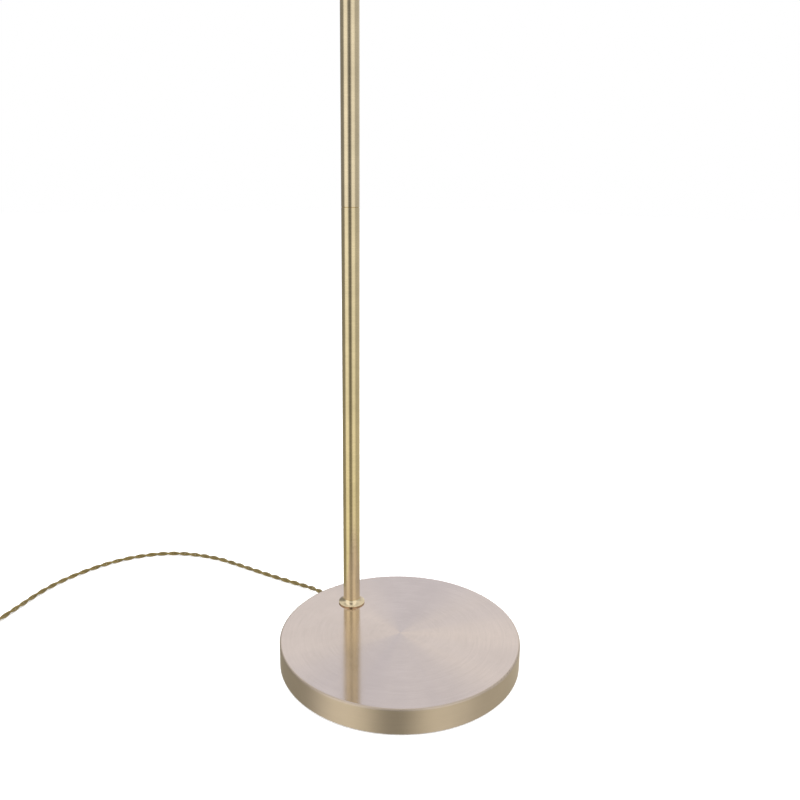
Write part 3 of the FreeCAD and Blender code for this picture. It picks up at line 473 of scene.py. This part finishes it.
def turned_metal(piece, color, axis, roughness, spread):
    """Metal finished on a lathe: fine grooves run round its axis, and its shine lies across."""
    nodes = material_nodes(piece + "_brass")
    low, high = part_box(piece)
    out, along, round_it = axis_parts(nodes, (low + high) / 2, axis)
    profile = nodes.math("ADD", nodes.math("MULTIPLY", out, 1.3), along)
    grooves = grooves_round(nodes, profile, TURNED_GROOVES, round_it)
    finer = nodes.vector("MULTIPLY", grooves, TURNED_FINER)
    coarse = nodes.noise(grooves, scale=1.0, detail=3.0, roughness=0.65)
    fine = nodes.noise(finer, scale=1.0, detail=2.0, roughness=0.6)
    cloudy = nodes.noise(nodes.place(), scale=22.0, detail=4.0, roughness=0.6)
    shade = nodes.math("MULTIPLY_ADD", coarse, LATHE_LINES / 2, 1.0 - LATHE_LINES / 4)
    patina = nodes.vary(cloudy, 1.0 - PATINA, 1.0 + PATINA * 0.4)
    return nodes.finish(
        Base_Color=nodes.scaled(color, nodes.math("MULTIPLY", shade, patina)),
        Metallic=1.0,
        Roughness=nodes.vary(coarse, roughness * 0.88, roughness * 1.12),
        Anisotropic=spread,
        Anisotropic_Rotation=ACROSS_GROOVES,
        Tangent=nodes.round_axis(axis),
        Normal=nodes.bump(fine, SCRATCH_DEPTH, LATHE_LINES),
    )


def base_metal():
    """The base's cover: its top is turned like a record and paler, partly by its finish and partly
    by painted reflection, its rim is brushed round.
    """
    nodes = material_nodes("base_satin_brass")
    out, along, round_it = axis_parts(nodes, (0.0, 0.0, 0.0), "Z")
    profile = nodes.math("ADD", out, nodes.math("MULTIPLY", along, 1.7))
    grooves = grooves_round(nodes, profile, BASE_GROOVES, nodes.scaled(round_it, 2.2))
    finer = nodes.vector("MULTIPLY", grooves, BASE_FINER)
    coarse = nodes.noise(grooves, scale=1.0, detail=4.0, roughness=0.7)
    fine = nodes.noise(finer, scale=1.0, detail=2.0, roughness=0.6)
    cloudy = nodes.noise(nodes.place(), scale=16.0, detail=4.0, roughness=0.6)
    # Painted reflection: a pale painted highlight in wedge shapes two ways from the middle, and
    # weaker paler and greyer ones all round.
    shine = nodes.vector("DOT_PRODUCT", round_it, PAINTED_HIGHLIGHT_LINE, output=1)
    faint_painted_wedges = nodes.vary(nodes.noise(round_it, scale=1.8, detail=2.0, roughness=0.5), -0.24, 0.24)
    painted_wedges = nodes.math("ADD", nodes.math("MULTIPLY", shine, shine), faint_painted_wedges)
    top = nodes.mix(nodes.remap(painted_wedges, 0.0, 1.0, -0.1, 1.1), TOP_PAINTED_DARK_REFLECTION, TOP_PAINTED_BRIGHT_REFLECTION)
    rim_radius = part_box("base_cover")[1].x
    rim = nodes.remap(out, 0.0, 1.0, rim_radius - EDGE_START, rim_radius - EDGE_END)
    shade = nodes.math("MULTIPLY_ADD", coarse, 0.16, 0.92)
    shade = nodes.math("MULTIPLY", shade, nodes.vary(cloudy, 0.94, 1.03))
    return nodes.finish(
        Base_Color=nodes.scaled(nodes.mix(rim, top, RIM_COLOR), shade),
        Metallic=1.0,
        Roughness=nodes.math("MULTIPLY_ADD", rim, 0.36, nodes.vary(coarse, 0.09, 0.13)),
        Anisotropic=0.75,
        Anisotropic_Rotation=ACROSS_GROOVES,
        Tangent=nodes.round_axis("Z"),
        Normal=nodes.bump(fine, 0.012 * MM, 0.5),
    )


def plain_metal(name, color, roughness):
    nodes = material_nodes(name)
    cloudy = nodes.noise(nodes.place(), scale=40.0, detail=4.0, roughness=0.6)
    pits = nodes.noise(nodes.place(), scale=600.0, detail=3.0, roughness=0.6)
    return nodes.finish(
        Base_Color=nodes.scaled(color, nodes.vary(cloudy, 0.86, 1.05)),
        Metallic=1.0,
        Roughness=nodes.vary(cloudy, roughness * 0.8, roughness * 1.25),
        Normal=nodes.bump(pits, SCRATCH_DEPTH, 0.4),
    )


def moulded(name, color, roughness, close_up):
    nodes = material_nodes(name)
    depth, grain, sheen = close_up
    cloudy = nodes.noise(nodes.place(), scale=60.0, detail=3.0, roughness=0.55)
    pits = nodes.noise(nodes.place(), scale=grain, detail=3.0, roughness=0.6)
    dark = tuple(c * 0.8 for c in color)
    light = tuple(min(1.0, c * 1.2) for c in color)
    return nodes.finish(
        Base_Color=nodes.mix(nodes.vary(cloudy, 0.0, 1.0), dark, light),
        Roughness=nodes.vary(pits, roughness * 0.85, min(1.0, roughness * 1.2)),
        Sheen_Weight=sheen,
        Normal=nodes.bump(pits, depth, 0.6),
    )


def braided_flex():
    """Cotton braid: two sets of threads cross on the slant round each strand."""
    nodes = material_nodes("braided_flex")
    strand = nodes.split(nodes.add("ShaderNodeUVMap", uv_map="along"))
    threads = []
    for slant in (THREADS_ROUND, -THREADS_ROUND):
        along = nodes.math("MULTIPLY", strand[1], THREADS_ALONG)
        lean = nodes.math("MULTIPLY_ADD", strand[0], slant, along)
        threads.append(nodes.math("SINE", nodes.math("MULTIPLY", lean, TURN)))
    weave = nodes.remap(nodes.math("MAXIMUM", *threads), 0.0, 1.0, -1.0, 1.0)
    fuzz = nodes.noise(nodes.place(), scale=1500.0, detail=3.0, roughness=0.7)
    tone = nodes.noise(nodes.place(), scale=90.0, detail=2.0, roughness=0.5)
    # The weave runs from painted shade in its dips, through the threads' own colour, to painted
    # highlight on its crests.
    stops = [(0.0, BRAID_DIPS_PAINTED_SHADE), (0.55, BRAID_MIDDLE), (1.0, BRAID_CRESTS_PAINTED_HIGHLIGHT)]
    color = nodes.ramp(weave, stops)
    color = nodes.mix(nodes.remap(fuzz, 0.0, 0.3, 0.4, 0.7), color, BRAID_FUZZ)
    color = nodes.mix(nodes.remap(tone, 0.0, 0.35, 0.4, 0.7), color, BRAID_SHADOW)
    return nodes.finish(
        Base_Color=color,
        Roughness=0.72,
        Sheen_Weight=0.12,
        Sheen_Roughness=0.5,
        Normal=nodes.bump(nodes.math("MULTIPLY_ADD", fuzz, 0.35, weave), 0.12 * MM, 0.7),
    )


def shade_metal():
    """Brass outside and warm white paint inside, told apart by which way the wall faces."""
    nodes = material_nodes("shade_brass")
    low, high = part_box("shade")
    centre = Vector(((low.x + high.x) / 2, (low.y + high.y) / 2, low.z))
    away = nodes.vector("SUBTRACT", nodes.place(), tuple(centre))
    outward = nodes.add("ShaderNodeTexCoord", output="Normal")
    facing = nodes.vector("DOT_PRODUCT", away, outward, output=1)
    inside = nodes.math("LESS_THAN", facing, 0.0)
    out, along, round_it = axis_parts(nodes, centre, "Z")
    grooves = grooves_round(nodes, nodes.math("ADD", out, along), SHADE_GROOVES, round_it)
    lines = nodes.noise(grooves, scale=1.0, detail=3.0, roughness=0.65)
    cloudy = nodes.noise(nodes.place(), scale=18.0, detail=4.0, roughness=0.6)
    brass = nodes.mix(nodes.vary(lines, 0.0, 1.0), SHADE_DARK, SHADE_LIGHT)
    brass = nodes.mix(nodes.remap(cloudy, 0.0, 0.3, 0.4, 0.7), brass, SHADE_PATINA)
    return nodes.finish(
        Base_Color=nodes.mix(inside, brass, SHADE_PAINT),
        Metallic=nodes.math("SUBTRACT", 1.0, inside),
        Roughness=nodes.math("MULTIPLY_ADD", inside, 0.3, 0.27),
        Anisotropic=0.7,
        Anisotropic_Rotation=ACROSS_GROOVES,
        Tangent=nodes.round_axis("Z"),
        Normal=nodes.bump(lines, SCRATCH_DEPTH, 0.5),
    )


def opal_glass():
    nodes = material_nodes("opal_glass")
    swirl = nodes.noise(nodes.place(), scale=30.0, detail=2.0, roughness=0.5)
    return nodes.finish(
        Base_Color=nodes.mix(nodes.vary(swirl, 0.0, 1.0), OPAL_DARK, OPAL_LIGHT),
        Roughness=nodes.vary(swirl, 0.12, 0.2),
        Subsurface_Weight=0.2,
        Subsurface_Radius=(10 * MM, 10 * MM, 10 * MM),
        Coat_Weight=0.4,
        Coat_Roughness=0.08,
    )


def wear(material, pieces):
    for piece in pieces:
        materials = NODES[piece].data.materials
        materials.clear()
        materials.append(material)


def dress_nodes():
    """Gives every CAD piece its material."""
    wear(base_metal(), ["base_cover"])
    wear(shade_metal(), ["shade"])
    wear(opal_glass(), ["lamp_globe"])
    for piece, *finish in TURNED:
        wear(turned_metal(piece, *finish), [piece])
    for *finish, pieces in PLAIN:
        wear(plain_metal(*finish), pieces)
    for *finish, pieces in MOULDED:
        wear(moulded(*finish), pieces)


# ---------------------------------------------------------------- studio

# How bright the studio is round the lamp, level with it: (degrees to the right of the direction
# from the lamp to the camera, brightness).
ROUND_LEVEL = [
    (-180, 0.34),
    (-90, 0.28),
    (-78, 0.42),
    (-70, 1.12),
    (-60, 1.3),
    (-33, 1.28),
    (-22, 0.5),
    (-10, 0.16),
    (5, 0.16),
    (14, 0.55),
    (24, 1.15),
    (34, 1.22),
    (56, 1.14),
    (69, 0.6),
    (120, 0.62),
    (150, 0.85),
    (180, 1.1),
]
# The world's colours stop at 1, so they hold half the brightness and shine twice as strongly.
BRIGHTEST = 2.0
# The studio changes with height. Each change lies between two heights, given as the sine of the
# angle above the lamp.
LOW_BAND = (-0.08, -0.5)
HIGH_BAND = (0.22, 0.42)
FRONT_BAND = (0.56, 0.66)
OVERHEAD_BAND = (0.9, 0.97)
# Below the lamp it is softer and warmer. Each place round it takes this share of the even colour.
LOW_TINT = (1.0, 0.94, 0.66)
LOW_COLOR = (0.64, 0.60, 0.42)
LOW_SHARE = 0.38
# Above it the front is more even up to a height, and the wall behind is a little darker.
FRONT_HIGH = 1.16
FRONT_SHARE = 0.66
BACK_HIGH = 0.88
OVERHEAD = 0.95
# How far towards the camera a direction points where the front turns into the wall behind.
FRONT_TO_BACK = (0.3, -0.3)

# (name, place, where it points, width of the square, watts)
LIGHTS = [
    ("key", (-2.2, -1.4, 2.6), (0.0, 0.0, 0.3), 2.0, 60.0),
    ("fill", (1.2, -2.4, 2.2), (0.0, 0.0, 0.3), 2.2, 45.0),
    ("top", (0.0, 0.4, 3.2), (0.0, 0.0, 0.0), 2.5, 40.0),
]

FLOOR_COLOR = (0.93, 0.93, 0.93)
FLOOR_REACH = 14.0
FLOOR_CORNERS = [(-1, -1), (1, -1), (1, 1), (-1, 1)]
FLOOR_GLOW = 0.25
# The floor lies a little below the lamp's felt, so that the two don't share a plane.
FLOOR_DROP = 0.2 * MM


def grey(brightness):
    return (brightness / BRIGHTEST,) * 3


def add_world():
    """A white studio. Metal sees dark and bright walls round the lamp, the camera sees white."""
    world = bpy.data.worlds.new("studio")
    bpy.context.scene.world = world
    nodes = Nodes(world)
    nodes.tree.nodes.clear()
    direction = nodes.add("ShaderNodeTexCoord", output="Generated")
    toward = Vector((CAMERA_PLACE.x, CAMERA_PLACE.y, 0.0)).normalized()
    rightward = Vector((CAMERA_RIGHT.x, CAMERA_RIGHT.y, 0.0)).normalized()
    near = nodes.vector("DOT_PRODUCT", direction, tuple(toward), output=1)
    aside = nodes.vector("DOT_PRODUCT", direction, tuple(rightward), output=1)
    share = nodes.math("MULTIPLY_ADD", nodes.math("ARCTAN2", aside, near), 1 / TURN, 0.5)
    level = nodes.ramp(share, [(a / 360 + 0.5, grey(b)) for a, b in ROUND_LEVEL])
    up = nodes.split(direction)[2]
    warm = nodes.mix(1.0, level, LOW_TINT, "MULTIPLY")
    low = nodes.mix(LOW_SHARE, warm, tuple(c / BRIGHTEST for c in LOW_COLOR))
    walls = nodes.mix(nodes.remap(up, 0.0, 1.0, *LOW_BAND), level, low)
    evenness = nodes.remap(up, FRONT_SHARE, 0.0, *FRONT_BAND)
    front = nodes.mix(evenness, level, grey(FRONT_HIGH))
    behind = nodes.remap(near, 0.0, 1.0, *FRONT_TO_BACK)
    high = nodes.mix(behind, front, grey(BACK_HIGH))
    walls = nodes.mix(nodes.remap(up, 0.0, 1.0, *HIGH_BAND), walls, high)
    seen = nodes.mix(nodes.remap(up, 0.0, 1.0, *OVERHEAD_BAND), walls, grey(OVERHEAD))
    reflected = nodes.add("ShaderNodeBackground", {"Color": seen, "Strength": BRIGHTEST})
    white = nodes.add("ShaderNodeBackground", {"Color": (1.0, 1.0, 1.0), "Strength": 1.0})
    for_camera = nodes.add("ShaderNodeLightPath", output="Is Camera Ray")
    chosen = nodes.add("ShaderNodeMixShader", {0: for_camera, 1: reflected, 2: white})
    output = nodes.tree.nodes.new("ShaderNodeOutputWorld")
    nodes.join(chosen, output.inputs[0])


def add_light(name, place, target, size, power):
    data = bpy.data.lights.new(name, "AREA")
    data.shape = "SQUARE"
    data.size = size
    data.energy = power
    light = bpy.data.objects.new(name, data)
    bpy.context.scene.collection.objects.link(light)
    light.location = place
    aim = (Vector(target) - Vector(place)).to_track_quat("-Z", "Y")
    light.rotation_euler = aim.to_euler()
    light.visible_glossy = False


def add_floor():
    nodes = material_nodes("pale_floor")
    speckle = nodes.noise(nodes.place(), scale=3.0, detail=2.0, roughness=0.5)
    darker = tuple(c * 0.985 for c in FLOOR_COLOR)
    material = nodes.finish(
        Base_Color=nodes.mix(speckle, FLOOR_COLOR, darker),
        Roughness=0.9,
        Specular_IOR_Level=0.0,
        Emission_Color=(1.0, 1.0, 1.0),
        Emission_Strength=FLOOR_GLOW,
    )
    mesh = bpy.data.meshes.new("floor")
    corners = [(x * FLOOR_REACH, y * FLOOR_REACH, 0.0) for x, y in FLOOR_CORNERS]
    mesh.from_pydata(corners, [], [(0, 1, 2, 3)])
    mesh.materials.append(material)
    floor = bpy.data.objects.new("floor", mesh)
    bpy.context.scene.collection.objects.link(floor)
    floor.location.z = -FLOOR_DROP
    floor.visible_glossy = False


def add_studio():
    add_world()
    add_floor()
    for light in LIGHTS:
        add_light(*light)
    settings = bpy.context.scene.view_settings
    settings.view_transform = "Standard"
    settings.look = "None"


def main():
    add_camera()
    add_flex()
    dress_nodes()
    add_studio()


main()
